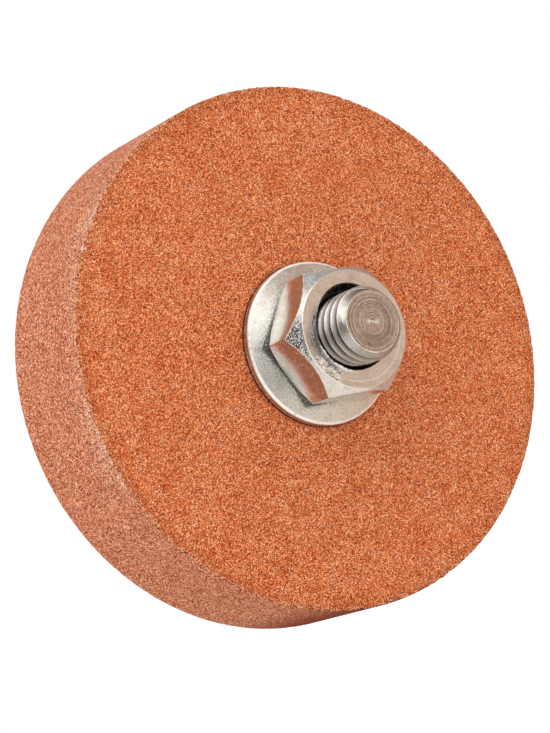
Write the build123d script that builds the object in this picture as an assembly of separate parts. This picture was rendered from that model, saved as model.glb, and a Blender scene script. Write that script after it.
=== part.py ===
from build123d import *
from math import radians, tan
import os

# Small bonded grinding wheel, clamped on a turned arbor by a hexagon flange nut.
# Millimetres. The pieces share one axis, Y. The nut's side of the wheel faces -Y and the shank
# points along +Y. The origin is on the axis at the collar's back face, where the shank starts.

# Wheel
wheel_diameter = 56.0
wheel_thickness = 14.0
wheel_edge_break = 0.25
wheel_bore_chamfer = 0.6

# Arbor, from the shank forwards
shank_diameter = 8.0
shank_length = 30.0
shank_end_chamfer = 0.8
shank_root_radius = 0.5
collar_thickness = 3.5
collar_edge_chamfer = 0.5
seat_diameter = 10.0
seat_setback = 0.8
seat_edge_chamfer = 0.3
undercut_depth = 0.7
undercut_width = 1.5
thread_crest_diameter = 7.8
thread_stand_out = 3.5
tip_chamfer_depth = 0.7
tip_chamfer_length = 0.6

# Nut
nut_across_flats = 13.0
nut_height = 7.7
nut_top_face_inset = 0.3
nut_top_chamfer_angle = 52.0
nut_bore_chamfer = 0.7
flange_overhang = 2.25
flange_rim_height = 0.95
flange_rim_radius = 0.35
flange_underside_chamfer = 0.15
flange_slope_angle = 24.5
hexagon_corner_radius = 0.25
foot_groove_inset = 0.2
foot_groove_radius = 0.1
foot_chamfer_angle = 35.0

# Fits, each a gap on the radius
seat_clearance = 0.1
thread_clearance = 0.05

# Shared radii and the wheel's two faces on the axis. The collar and the nut's flange clamp the
# wheel between equal rings.
seat_radius = seat_diameter / 2
thread_radius = thread_crest_diameter / 2
clamp_radius = nut_across_flats / 2 + flange_overhang
wheel_back_y = -collar_thickness
wheel_front_y = wheel_back_y - wheel_thickness
tip_y = wheel_front_y - nut_height - thread_stand_out


def outline(corners):
    """A closed profile of (radius, y) corners."""
    return make_face(Polyline(*corners, close=True))


def rounded(profile, corner, radius):
    """The profile with the one corner that lies at (radius, y) rounded."""
    nearest = profile.vertices().sort_by_distance((*corner, 0))[0]
    return fillet(nearest, radius)


def turned(profile):
    """The solid that a profile sweeps out about the shared axis."""
    return revolve(profile, axis=Axis.Y)


def grinding_wheel():
    rim = wheel_diameter / 2
    bore = seat_radius + seat_clearance
    return turned(outline([
        (bore, wheel_back_y - wheel_bore_chamfer),
        (bore, wheel_front_y + wheel_bore_chamfer),
        (bore + wheel_bore_chamfer, wheel_front_y),
        (rim - wheel_edge_break, wheel_front_y),
        (rim, wheel_front_y + wheel_edge_break),
        (rim, wheel_back_y - wheel_edge_break),
        (rim - wheel_edge_break, wheel_back_y),
        (bore + wheel_bore_chamfer, wheel_back_y),
    ]))


def arbor():
    shank = shank_diameter / 2
    shoulder_y = wheel_front_y + seat_setback
    undercut = thread_radius - undercut_depth
    profile = outline([
        (0, tip_y),
        (thread_radius - tip_chamfer_depth, tip_y),
        (thread_radius, tip_y + tip_chamfer_length),
        (thread_radius, shoulder_y - undercut_width),
        (undercut, shoulder_y - undercut_width + undercut_depth),
        (undercut, shoulder_y),
        (seat_radius - seat_edge_chamfer, shoulder_y),
        (seat_radius, shoulder_y + seat_edge_chamfer),
        (seat_radius, wheel_back_y),
        (clamp_radius - collar_edge_chamfer, wheel_back_y),
        (clamp_radius, wheel_back_y + collar_edge_chamfer),
        (clamp_radius, -collar_edge_chamfer),
        (clamp_radius - collar_edge_chamfer, 0),
        (shank, 0),
        (shank, shank_length - shank_end_chamfer),
        (shank - shank_end_chamfer, shank_length),
        (0, shank_length),
    ])
    return turned(rounded(profile, (shank, 0), shank_root_radius))


def nut_blank():
    """The nut as it is turned, before its six flats are cut.

    From the wheel outwards it has the flange's thin rim, the flange's conical top, a groove that
    is a little smaller than the flats, and a plain band with a cone at each end.
    """
    rim_y = wheel_front_y - flange_rim_height
    top_y = wheel_front_y - nut_height
    groove = nut_across_flats / 2 - foot_groove_inset
    top_face = nut_across_flats / 2 - nut_top_face_inset
    foot_rise = (clamp_radius - groove) * tan(radians(foot_chamfer_angle))
    top_drop = (clamp_radius - top_face) * tan(radians(nut_top_chamfer_angle))
    profile = outline([
        (0, wheel_front_y),
        (clamp_radius - flange_underside_chamfer, wheel_front_y),
        (clamp_radius, wheel_front_y - flange_underside_chamfer),
        (clamp_radius, rim_y),
        (groove, groove_y()),
        (clamp_radius, groove_y() - foot_rise),
        (clamp_radius, top_y + top_drop),
        (top_face, top_y),
        (0, top_y),
    ])
    profile = rounded(profile, (clamp_radius, rim_y), flange_rim_radius)
    return turned(rounded(profile, (groove, groove_y()), foot_groove_radius))


def groove_y():
    """Where the flange's conical top ends at the groove under the hexagon."""
    width = clamp_radius - nut_across_flats / 2 + foot_groove_inset
    return wheel_front_y - flange_rim_height - width * tan(radians(flange_slope_angle))


def around_hexagon():
    """All that is cut away around the hexagon, from the groove outwards. A corner is on +Z."""
    hexagon = RegularPolygon(nut_across_flats / 2, 6, major_radius=False, rotation=30)
    hexagon = fillet(hexagon.vertices(), hexagon_corner_radius)
    groove_plane = Plane.XZ.offset(-groove_y())
    return extrude(groove_plane * (Circle(2 * clamp_radius) - hexagon), nut_height)


def nut_bore():
    """The threaded hole at the clearance of the arbor's crests, with a chamfer at each mouth."""
    bore = thread_radius + thread_clearance
    top_y = wheel_front_y - nut_height
    return turned(outline([
        (0, wheel_front_y),
        (bore + nut_bore_chamfer, wheel_front_y),
        (bore, wheel_front_y - nut_bore_chamfer),
        (bore, top_y + nut_bore_chamfer),
        (bore + nut_bore_chamfer, top_y),
        (0, top_y),
    ]))


def flange_nut():
    return nut_blank() - around_hexagon() - nut_bore()


pieces = {
    "grinding_wheel": grinding_wheel(),
    "arbor": arbor(),
    "flange_nut": flange_nut(),
}

os.makedirs("parts", exist_ok=True)
for name, piece in pieces.items():
    export_step(piece, f"parts/{name}.step")
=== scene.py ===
"""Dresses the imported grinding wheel: the bonded wheel, the flange nut and the threaded arbor.

Lengths are metres in the frame's own axes. The wheel's axis is Y, the nut faces -Y and Z is up.
"Ahead" always means the distance in front of the wheel's front face, along -Y, and "behind" the
distance behind that face. A Range is a start, an end and the results at the two. An Arc is four
angles in degrees from +X, seen from the front: a mark fades in over the first two and out over
the last two.
"""

import logging
import math
from dataclasses import dataclass, field
from enum import Enum
from typing import Sequence, Union

import bmesh
import bpy
import numpy as np
from mathutils import Matrix, Vector, noise


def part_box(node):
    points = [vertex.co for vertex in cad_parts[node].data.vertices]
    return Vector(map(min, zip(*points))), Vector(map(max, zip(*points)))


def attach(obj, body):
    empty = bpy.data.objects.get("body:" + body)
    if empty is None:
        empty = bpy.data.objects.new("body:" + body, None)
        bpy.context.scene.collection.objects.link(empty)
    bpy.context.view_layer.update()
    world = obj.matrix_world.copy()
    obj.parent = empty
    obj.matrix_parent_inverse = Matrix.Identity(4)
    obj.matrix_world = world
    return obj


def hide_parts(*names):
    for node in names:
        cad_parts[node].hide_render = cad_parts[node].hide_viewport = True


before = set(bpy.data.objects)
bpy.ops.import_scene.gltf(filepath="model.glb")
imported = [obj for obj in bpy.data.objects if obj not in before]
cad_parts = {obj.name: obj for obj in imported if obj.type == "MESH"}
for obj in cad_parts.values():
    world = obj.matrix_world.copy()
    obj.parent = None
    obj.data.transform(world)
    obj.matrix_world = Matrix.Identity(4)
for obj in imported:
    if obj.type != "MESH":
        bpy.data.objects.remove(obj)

MM = 0.001
FULL_TURN = 2 * math.pi
SECTOR = math.pi / 3
HOLD = 1.3
BODY = "root"

log = logging.getLogger("grinding_wheel_scene")

Socket = bpy.types.NodeSocket
Fed = Union[float, Sequence[float], Socket]
Colour = tuple[float, float, float]
Stops = tuple[tuple[float, Colour], ...]
Range = tuple[float, ...]
Pair = tuple[float, float]
Arc = tuple[float, float, float, float]


def tint(colour: Colour) -> tuple[float, float, float, float]:
    """Turns a colour as it is seen on a screen into the linear values that shaders take.

    Args:
        colour: Red, green and blue from 0 to 255.
    Returns:
        Linear red, green and blue, and an alpha of 1.
    """
    seen = [channel / 255 for channel in colour]
    linear = [c / 12.92 if c <= 0.04045 else ((c + 0.055) / 1.055) ** 2.4 for c in seen]
    return (linear[0], linear[1], linear[2], 1.0)


def moved(span: Range, by: float) -> Range:
    """Moves a range's start and end, and keeps its results."""
    return (span[0] + by, span[1] + by, *span[2:])


def fade(value: np.ndarray, start: float, end: float) -> np.ndarray:
    """Goes smoothly from 0 at start to 1 at end, whichever of the two is larger."""
    share = np.clip((value - start) / (end - start), 0, 1)
    return share * share * (3 - 2 * share)


def bell(value: np.ndarray, middle: float, width: float) -> np.ndarray:
    """Is 1 at the middle and falls away on both sides."""
    return np.exp(-((value - middle) / width) ** 2)


class Slot(Enum):
    """The record's material slots."""

    BONDED = "bonded_abrasive"
    TURNED = "turned_steel"
    ZINC = "zinc_plated_steel"


class NodePlan:
    """Adds and joins the nodes of one tree."""

    def __init__(self, tree: bpy.types.NodeTree) -> None:
        """Keeps the tree that the nodes go into."""
        self.tree = tree

    def feed(self, socket: Socket, value: Fed) -> None:
        """Links an output to the socket, or sets the socket's own value.

        Args:
            socket: The socket.
            value: The output or the plain value.
        """
        if isinstance(value, Socket):
            self.tree.links.new(value, socket)
        else:
            socket.default_value = value

    def add(self, kind: str, fed: dict | None = None, **settings: object) -> bpy.types.Node:
        """Adds one node.

        Args:
            kind: The node's type.
            fed: What goes into its sockets, by name or index.
            settings: The node's own options.
        Returns:
            The new node.
        """
        node = self.tree.nodes.new(kind)
        for name, value in settings.items():
            setattr(node, name, value)
        for key, value in (fed or {}).items():
            self.feed(node.inputs[key], value)
        return node

    def math(self, operation: str, *operands: Fed) -> Socket:
        """Adds a Math node and returns its result."""
        return self.add("ShaderNodeMath", dict(enumerate(operands)), operation=operation).outputs[0]

    def chain(self, operation: str, values: Sequence[Fed]) -> Fed:
        """Joins values from left to right, each by the same operation.

        Args:
            operation: The Math node's operation.
            values: What it joins, in order.
        Returns:
            The joined value.
        """
        joined = values[0]
        for value in values[1:]:
            joined = self.math(operation, joined, value)
        return joined

    def times(self, *values: Fed) -> Fed:
        """Multiplies the values."""
        return self.chain("MULTIPLY", values)

    def plus(self, *values: Fed) -> Fed:
        """Adds the values up."""
        return self.chain("ADD", values)

    def most(self, *values: Fed) -> Fed:
        """Takes the largest of the values."""
        return self.chain("MAXIMUM", values)

    def minus(self, first: Fed, second: Fed) -> Socket:
        """Takes the second value from the first."""
        return self.math("SUBTRACT", first, second)

    def apart(self, first: Fed, second: Fed) -> Socket:
        """Works out how far apart two values are."""
        return self.math("ABSOLUTE", self.minus(first, second))

    def across(self, first: Fed, second: Fed) -> Socket:
        """Works out the straight distance over two steps at right angles."""
        return self.math("SQRT", self.plus(self.times(first, first), self.times(second, second)))

    def remap(self, value: Fed, start: float, end: float, low: Fed = 0.0, high: Fed = 1.0,
              kind: str = "SMOOTHSTEP") -> Socket:
        """Carries a value from one range to another.

        Args:
            value: What is read.
            start: The value that gives low.
            end: The value that gives high.
            low: The result at start.
            high: The result at end.
            kind: How the value runs between them.
        Returns:
            The result.
        """
        fed = {"Value": value, "From Min": start, "From Max": end, "To Min": low, "To Max": high}
        return self.add("ShaderNodeMapRange", fed, interpolation_type=kind).outputs[0]

    def near_angle(self, angle: Fed, degrees: Range, low: float = 0.0, high: float = 1.0) -> Socket:
        """Finds what lies near an angle.

        Args:
            angle: The angle that is read, in radians.
            degrees: The angle, and how far from it the result starts and stops to change.
            low: The result far from the angle.
            high: The result at the angle.
        Returns:
            The result.
        """
        middle, inner, outer = (math.radians(value) for value in degrees)
        return self.remap(self.apart(angle, middle), inner, outer, high, low)

    def mix(self, share: Fed, first: Fed, second: Fed, kind: str = "MIX") -> Socket:
        """Mixes two colours.

        Args:
            share: How much of the second colour is used.
            first: The colour at 0.
            second: The colour at 1.
            kind: The way they are blended.
        Returns:
            The mixed colour.
        """
        node = self.add("ShaderNodeMix", {0: share, 6: first, 7: second},
                        data_type="RGBA", blend_type=kind)
        return node.outputs[2]

    def coats(self, colour: Fed, *layers: tuple[Fed, Colour]) -> Fed:
        """Lays more colours over a first one, each as thickly as its share says.

        Args:
            colour: The first colour.
            layers: The further colours, each with its share.
        Returns:
            The last colour.
        """
        for share, layer in layers:
            colour = self.mix(share, colour, tint(layer))
        return colour

    def ramp(self, value: Fed, stops: Stops) -> Socket:
        """Reads a colour off a row of stops.

        Args:
            value: The place on the row, from 0 to 1.
            stops: Places with their colours.
        Returns:
            The colour.
        """
        node = self.add("ShaderNodeValToRGB", {0: value})
        row = node.color_ramp.elements
        while len(row) < len(stops):
            row.new(0.5)
        for element, (place, colour) in zip(row, stops):
            element.position = place
            element.color = tint(colour)
        return node.outputs[0]

    def noise(self, place: Fed, size: float, detail: float = 2.0) -> Socket:
        """Adds soft noise whose features are about the given size and returns its value."""
        fed = {"Vector": place, "Scale": 1 / size, "Detail": detail}
        return self.add("ShaderNodeTexNoise", fed, noise_dimensions="3D").outputs[0]

    def cells(self, place: Fed, size: float) -> bpy.types.Node:
        """Adds a Voronoi pattern whose cells are about the given size."""
        return self.add("ShaderNodeTexVoronoi", {"Vector": place, "Scale": 1 / size})

    def grains(self, place: Fed, size: float) -> Sequence[Socket]:
        """Gives each cell of such a pattern three random values."""
        colour = self.cells(place, size).outputs["Color"]
        return self.add("ShaderNodeSeparateColor", {0: colour}).outputs

    def scale(self, vector: Fed, share: Fed) -> Socket:
        """Makes a vector longer or shorter."""
        fed = {0: vector, "Scale": share}
        return self.add("ShaderNodeVectorMath", fed, operation="SCALE").outputs[0]

    def around_axis(self, place: Socket) -> tuple[Socket, ...]:
        """Splits a place into its radius about the Y axis, its angle from +X and its y."""
        x, y, z = self.add("ShaderNodeSeparateXYZ", {0: place}).outputs
        return self.across(x, z), self.math("ARCTAN2", z, x), y


class Paint:
    """A new material with a Principled shader, ready for a finish to fill in."""

    def __init__(self, slot: Slot) -> None:
        """Makes the material with its shader, its output and its Object coordinates.

        Args:
            slot: The record's slot, which names it.
        """
        self.material = bpy.data.materials.new(slot.value)
        self.material.use_nodes = True
        self.material.node_tree.nodes.clear()
        self.plan = NodePlan(self.material.node_tree)
        self.shader = self.plan.add("ShaderNodeBsdfPrincipled")
        self.plan.add("ShaderNodeOutputMaterial", {"Surface": self.shader.outputs[0]})
        self.place = self.plan.add("ShaderNodeTexCoord").outputs["Object"]

    def set(self, **values: Fed) -> None:
        """Feeds the shader's sockets, named with underscores for spaces."""
        for name, value in values.items():
            self.plan.feed(self.shader.inputs[name.replace("_", " ")], value)

    def mark(self, name: str) -> Socket:
        """Reads one of the values that a piece's mesh carries for its finish."""
        return self.plan.add("ShaderNodeAttribute", attribute_name=name).outputs["Fac"]

    def bump(self, height: Fed, depth: float, strength: float = 1.0) -> None:
        """Gives the surface a fine relief.

        Args:
            height: The relief from 0 to 1.
            depth: Its real depth.
            strength: How much of it is used.
        """
        fed = {"Height": height, "Distance": depth, "Strength": strength}
        self.set(Normal=self.plan.add("ShaderNodeBump", fed).outputs[0])


@dataclass(frozen=True)
class BondedAbrasive:
    """Fused alumina grain in a baked bond, speckled orange on its faces and dusty on its rim."""

    rim_radius: float
    front_y: float
    back_y: float
    flange: float = 8.75 * MM

    grain: float = 0.082 * MM
    rim_grain: float = 0.110 * MM
    fine_grain: float = 0.55
    grain_shares: Pair = (0.75, 0.25)
    face_stops: Stops = (
        (0.08, (80, 14, 4)), (0.30, (168, 54, 19)), (0.50, (223, 109, 54)),
        (0.70, (250, 151, 93)), (0.86, (255, 205, 153)), (0.96, (255, 248, 232)),
    )
    rim_stops: Stops = (
        (0.08, (72, 18, 9)), (0.30, (153, 63, 36)), (0.50, (211, 116, 75)),
        (0.70, (240, 158, 115)), (0.86, (254, 210, 174)), (0.96, (255, 245, 230)),
    )
    hue_grain: float = 0.13 * MM
    hue_stops: Stops = ((0.15, (196, 58, 40)), (0.5, (216, 118, 66)), (0.85, (240, 178, 104)))
    hue_share: float = 0.12
    blotch: float = 2.6 * MM
    blotches: Range = (0.3, 0.7, -0.03, 0.03)
    rim_blotch: float = 0.5

    dust: Colour = (246, 214, 192)
    patches: tuple[Pair, ...] = ((114, 13), (168, 14))
    patch_core: float = 0.4
    crust: float = 0.5 * MM
    crusts: Range = (0.40, 0.62)
    crust_band: Range = (0.1 * MM, 1.1 * MM, 0.8, 0.0)
    cloud: float = 4 * MM
    clouds: Range = (0.40, 0.65, 0.2, 1.0)
    upper_side: Range = (math.radians(190), math.radians(165))
    patch_veil: float = 0.16
    upper_veil: float = 0.10
    veil_reach: float = 5 * MM
    dust_line: Range = (0.05 * MM, 0.25 * MM, 0.10, 0.0)
    dust_on_grain: Range = (0.36, 0.56, 0.15, 1.25)
    dust_light: float = 0.2

    jag: float = 1.1 * MM
    tooth: float = 0.30 * MM
    past_ridge: Range = (-0.04 * MM, 0.04 * MM)
    crumb: float = 0.15 * MM
    crumb_band: Range = (0.06 * MM, 0.22 * MM, 0.8, 0.0)
    shade: Colour = (78, 26, 14)
    nicks: Range = (0.36, 0.20)
    flake: Colour = (255, 196, 150)
    flakes: Range = (0.60, 0.76)
    hem: Range = (0.2 * MM, 1.8 * MM, 0.14, 0.0)
    hem_edge: Range = (0.0, -0.1 * MM)
    fleck_angle: float = math.radians(122.8)
    fleck_behind: float = 0.3 * MM
    fleck_size: Range = (0.14 * MM, 0.28 * MM, 0.9, 0.0)

    # Painted shade on one stretch of the rim.
    rim_shade: Colour = (166, 112, 88)
    rim_shade_start: Range = (math.radians(219), math.radians(238))
    rim_shade_end: Range = (math.radians(258), math.radians(300), 1.0, 0.0)
    # Painted shadow of the flange on the front face: a dark line and a fainter halo.
    contact_line: Range = (0.02 * MM, 0.10 * MM, 0.9, 0.0)
    contact_halo: Range = (0.0, 0.6 * MM, 0.18, 0.0)
    at_face: Range = (0.2 * MM, 0.5 * MM, 1.0, 0.0)

    glints: Range = (0.90, 0.93)
    roughness: Range = (0.0, 1.0, 0.85, 0.35)
    specular: float = 0.12
    pit_height: float = -0.8
    relief: float = 0.07 * MM
    relief_share: float = 0.8

    def speckle(self, plan: NodePlan, place: Fed, grain: float) -> Fed:
        """Gives each grain a random value, with finer grain between the large ones.

        Args:
            plan: The nodes that it adds to.
            place: The place that is read.
            grain: The size of a grain.
        Returns:
            A value from 0 to 1.
        """
        coarse, fine = self.grain_shares
        return plan.plus(plan.times(plan.grains(place, grain)[0], coarse),
                         plan.times(plan.grains(place, grain * self.fine_grain)[1], fine))

    def powder(self, plan: NodePlan, place: Fed, angle: Fed, behind: Fed) -> Fed:
        """Finds the pale dust along the front ridge, in two patches and thinly elsewhere.

        Args:
            plan: The nodes that it adds to.
            place: The place that is read.
            angle: The angle about the axis.
            behind: The distance behind the front face.
        Returns:
            How dusty the rim is.
        """
        patches = plan.most(0.0, *(plan.near_angle(angle, (middle, half * self.patch_core, half))
                                   for middle, half in self.patches))
        crust = plan.remap(plan.noise(place, self.crust, 3.0), *self.crusts)
        close = plan.times(plan.remap(behind, *self.crust_band), crust, patches)
        cloud = plan.remap(plan.noise(place, self.cloud), *self.clouds)
        upper = plan.remap(angle, *self.upper_side)
        thin = plan.plus(plan.times(patches, self.patch_veil), plan.times(upper, self.upper_veil))
        veil = plan.plus(plan.times(plan.remap(behind, 0.0, self.veil_reach), -1.0), 1.0)
        veil = plan.times(veil, plan.times(cloud, thin))
        line = plan.times(plan.remap(behind, *self.dust_line), crust)
        return plan.most(close, veil, line)

    def fleck(self, plan: NodePlan, angle: Fed, behind: Fed) -> Socket:
        """Finds the one large pale grain that stands out on the ridge.

        Args:
            plan: The nodes that it adds to.
            angle: The angle about the axis.
            behind: The distance behind the front face.
        Returns:
            How much the grain covers.
        """
        along = plan.times(plan.minus(angle, self.fleck_angle), self.rim_radius)
        away = plan.across(along, plan.minus(behind, self.fleck_behind))
        return plan.remap(away, *self.fleck_size)

    def painted_rim_shade(self, plan: NodePlan, angle: Fed) -> Fed:
        """Finds the stretch of the rim where shade is painted."""
        return plan.times(plan.remap(angle, *self.rim_shade_start), plan.remap(angle, *self.rim_shade_end))

    def contact_shadow(self, plan: NodePlan, radius: Fed, behind: Fed) -> Fed:
        """Finds the painted shadow round the flange: a dark line and a fainter halo.

        Args:
            plan: The nodes that it adds to.
            radius: The distance from the axis.
            behind: The distance behind the front face.
        Returns:
            How dark the line is.
        """
        line = plan.remap(radius, *moved(self.contact_line, self.flange))
        halo = plan.remap(radius, *moved(self.contact_halo, self.flange))
        near = plan.remap(plan.math("ABSOLUTE", behind), *self.at_face)
        return plan.times(plan.most(line, halo), near)

    def material(self) -> bpy.types.Material:
        """Builds the finish.

        Returns:
            The material.
        """
        paint = Paint(Slot.BONDED)
        plan, place = paint.plan, paint.place
        radius, angle, y = plan.around_axis(place)
        angle = plan.math("MODULO", plan.plus(angle, FULL_TURN), FULL_TURN)
        behind = plan.minus(y, self.front_y)
        blotch = plan.remap(plan.noise(place, self.blotch, 3.0), *self.blotches, "LINEAR")
        value = plan.plus(self.speckle(plan, place, self.grain), blotch)
        rim_value = self.speckle(plan, place, self.rim_grain)
        powder = plan.times(self.powder(plan, place, angle, behind),
                            plan.remap(rim_value, *self.dust_on_grain))
        rim_value = plan.plus(rim_value, plan.times(blotch, self.rim_blotch),
                              plan.times(powder, self.dust_light))
        rim = plan.coats(plan.ramp(rim_value, self.rim_stops), (powder, self.dust))
        # Paints shade on one stretch of the rim.
        rim = plan.mix(self.painted_rim_shade(plan, angle), rim, tint(self.rim_shade), "MULTIPLY")
        in_rim = plan.minus(self.rim_radius, radius)
        from_face = plan.math("MINIMUM", behind, plan.minus(self.back_y, y))
        ridge = plan.minus(from_face, in_rim)
        teeth = plan.minus(plan.noise(place, self.tooth), 0.5)
        jagged = plan.plus(ridge, plan.times(teeth, self.jag))
        colour = plan.mix(plan.remap(jagged, *self.past_ridge),
                          plan.ramp(value, self.face_stops), rim)
        crumb = plan.grains(place, self.crumb)[0]
        edge = plan.remap(plan.math("ABSOLUTE", jagged), *self.crumb_band)
        hem = plan.times(plan.remap(in_rim, *self.hem), plan.remap(ridge, *self.hem_edge))
        nick = plan.most(plan.times(edge, plan.remap(crumb, *self.nicks)), hem)
        flake = plan.times(edge, plan.remap(crumb, *self.flakes))
        colour = plan.coats(colour, (nick, self.shade), (flake, self.flake))
        hue = plan.ramp(plan.grains(place, self.hue_grain)[2], self.hue_stops)
        colour = plan.coats(plan.mix(self.hue_share, colour, hue, "SOFT_LIGHT"),
                            # The flange's painted shadow on the front face.
                            (self.contact_shadow(plan, radius, behind), self.shade),
                            (self.fleck(plan, angle, behind), self.dust))
        rough = plan.remap(plan.remap(value, *self.glints), *self.roughness)
        paint.set(Base_Color=colour, Roughness=rough, Specular_IOR_Level=self.specular)
        pits = plan.times(plan.cells(place, self.grain).outputs["Distance"], self.pit_height)
        fine = plan.noise(place, self.grain * 0.5)
        paint.bump(plan.plus(pits, fine), self.relief, self.relief_share)
        return paint.material


@dataclass(frozen=True)
class ZincPlate:
    """Bright zinc plating over a forged nut, finely pitted, and coarser on its turned cone."""

    front_y: float
    top: float
    top_face: float
    cone_angle: float

    colour: Colour = (236, 234, 230)
    stained: Colour = (212, 207, 198)
    # Painted shade on the upper part of the hexagon's flat sides.
    flank: Colour = (190, 185, 177)
    dulled: Colour = (146, 147, 142)
    speck: Colour = (138, 136, 128)
    # Dirt with painted shade, around the hexagon's foot.
    grime_shade: Colour = (84, 87, 66)
    # Painted shade in the bore, at the hexagon's foot, along the rim's edge and in the cone's
    # hollows.
    crevice_shade: Colour = (34, 33, 31)
    # White for painted highlights and glints, and for metal scraped clean.
    highlight_and_bare: Colour = (255, 252, 246)

    pit: float = 0.12 * MM
    crystal: float = 0.13 * MM
    spark: float = 0.17 * MM
    patch: float = 0.5 * MM
    swell: float = 0.7 * MM
    blot: float = 1.3 * MM

    on_slope: Range = (0.06 * MM, 0.16 * MM, 1.0, 0.0)
    past_edge: Range = (0.04 * MM, 0.12 * MM)
    blots: Range = (0.45, 0.72, 0.0, 0.6)
    specks: Range = (0.44, 0.32, 0.0, 0.5)
    glitter: Range = (0.60, 0.70, 0.0, 0.6)
    sparks: Range = (0.63, 0.70, 0.0, 0.75)
    hollows: Range = (0.62, 0.42, 0.25, 0.8)
    crystals: Range = (0.53, 0.61, 0.0, 0.95)
    broken_grime_shade: Range = (0.40, 0.58, 1.0, 0.35)
    broken_edge: Range = (0.30, 0.50, 0.6, 1.0)
    broken_gap: Range = (0.60, 0.50, 0.55, 1.0)
    metallic: Range = (0.0, 1.0, 0.92, 0.30)
    matte_dull: float = 0.8
    roughness: Range = (0.3, 0.7, 0.08, 0.16)
    smooth_flank: Range = (0.0, 0.5, 1.0, 0.4)
    rough_grime_shade: float = 0.2
    pit_height: float = 1.2
    crystal_height: float = 2.0
    relief: float = 0.014 * MM

    def on_cone(self, plan: NodePlan, place: Socket) -> Fed:
        """Finds the turned cone, which lies at one slope below the top face.

        Args:
            plan: The nodes that it adds to.
            place: The place that is read.
        Returns:
            1 on the cone and 0 elsewhere.
        """
        radius, _, y = plan.around_axis(place)
        below = plan.minus(self.top, plan.minus(self.front_y, y))
        out = plan.minus(radius, self.top_face)
        miss = plan.apart(below, plan.times(out, math.tan(self.cone_angle)))
        return plan.times(plan.remap(miss, *self.on_slope), plan.remap(out, *self.past_edge))

    def material(self) -> bpy.types.Material:
        """Builds the finish.

        Returns:
            The material.
        """
        paint = Paint(Slot.ZINC)
        plan, place = paint.plan, paint.place
        pits, crystals = plan.noise(place, self.pit), plan.noise(place, self.crystal)
        patch, swell = plan.noise(place, self.patch), plan.noise(place, self.swell, 4.0)
        blots = plan.remap(plan.noise(place, self.blot, 5.0), *self.blots)
        sparks = plan.remap(plan.noise(place, self.spark), *self.sparks)
        flank, dull = paint.mark("flank"), paint.mark("dull")
        # Dirt and painted shade around the hexagon's foot.
        grime_shade = plan.times(paint.mark("recess"), plan.remap(pits, *self.broken_grime_shade))
        rugged = plan.times(self.on_cone(plan, place), paint.mark("rugged"))
        hollows = plan.times(rugged, plan.remap(patch, *self.hollows))
        fleck = plan.times(rugged, plan.remap(crystals, *self.crystals))
        # Painted highlights along the rounded edges, broken up by noise.
        edge = plan.times(paint.mark("worn"), plan.remap(patch, *self.broken_edge))
        glitter = plan.most(plan.remap(pits, *self.glitter), sparks)
        # Painted highlights and glints, and metal scraped clean.
        highlight_and_bare = plan.most(edge, fleck, paint.mark("scraped"), glitter)
        # Painted shade on the bore's wall, at the hexagon's foot and along the rim's edge.
        gap = plan.times(paint.mark("gap"), plan.remap(crystals, *self.broken_gap))
        # Layers: stains, painted shade on the flat sides, specks, dirt with painted shade at the
        # foot, painted shade in the cone's hollows, dull patches, painted highlights with scraped
        # metal, and painted shade in the gaps.
        shade = plan.coats(
            tint(self.colour), (blots, self.stained), (flank, self.flank),
            (plan.remap(pits, *self.specks), self.speck), (grime_shade, self.grime_shade),
            (hollows, self.crevice_shade), (dull, self.dulled), (highlight_and_bare, self.highlight_and_bare), (gap, self.crevice_shade))
        calm = plan.remap(flank, *self.smooth_flank)
        rough = plan.times(plan.remap(swell, *self.roughness, "LINEAR"), calm)
        matte = plan.most(highlight_and_bare, plan.times(dull, self.matte_dull))
        paint.set(Base_Color=shade, Metallic=plan.remap(matte, *self.metallic),
                  Roughness=plan.plus(rough, plan.times(grime_shade, self.rough_grime_shade)))
        height = plan.plus(swell, plan.times(pits, self.pit_height),
                           plan.times(rugged, crystals, self.crystal_height))
        paint.bump(plan.times(height, calm), self.relief)
        return paint.material


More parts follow.
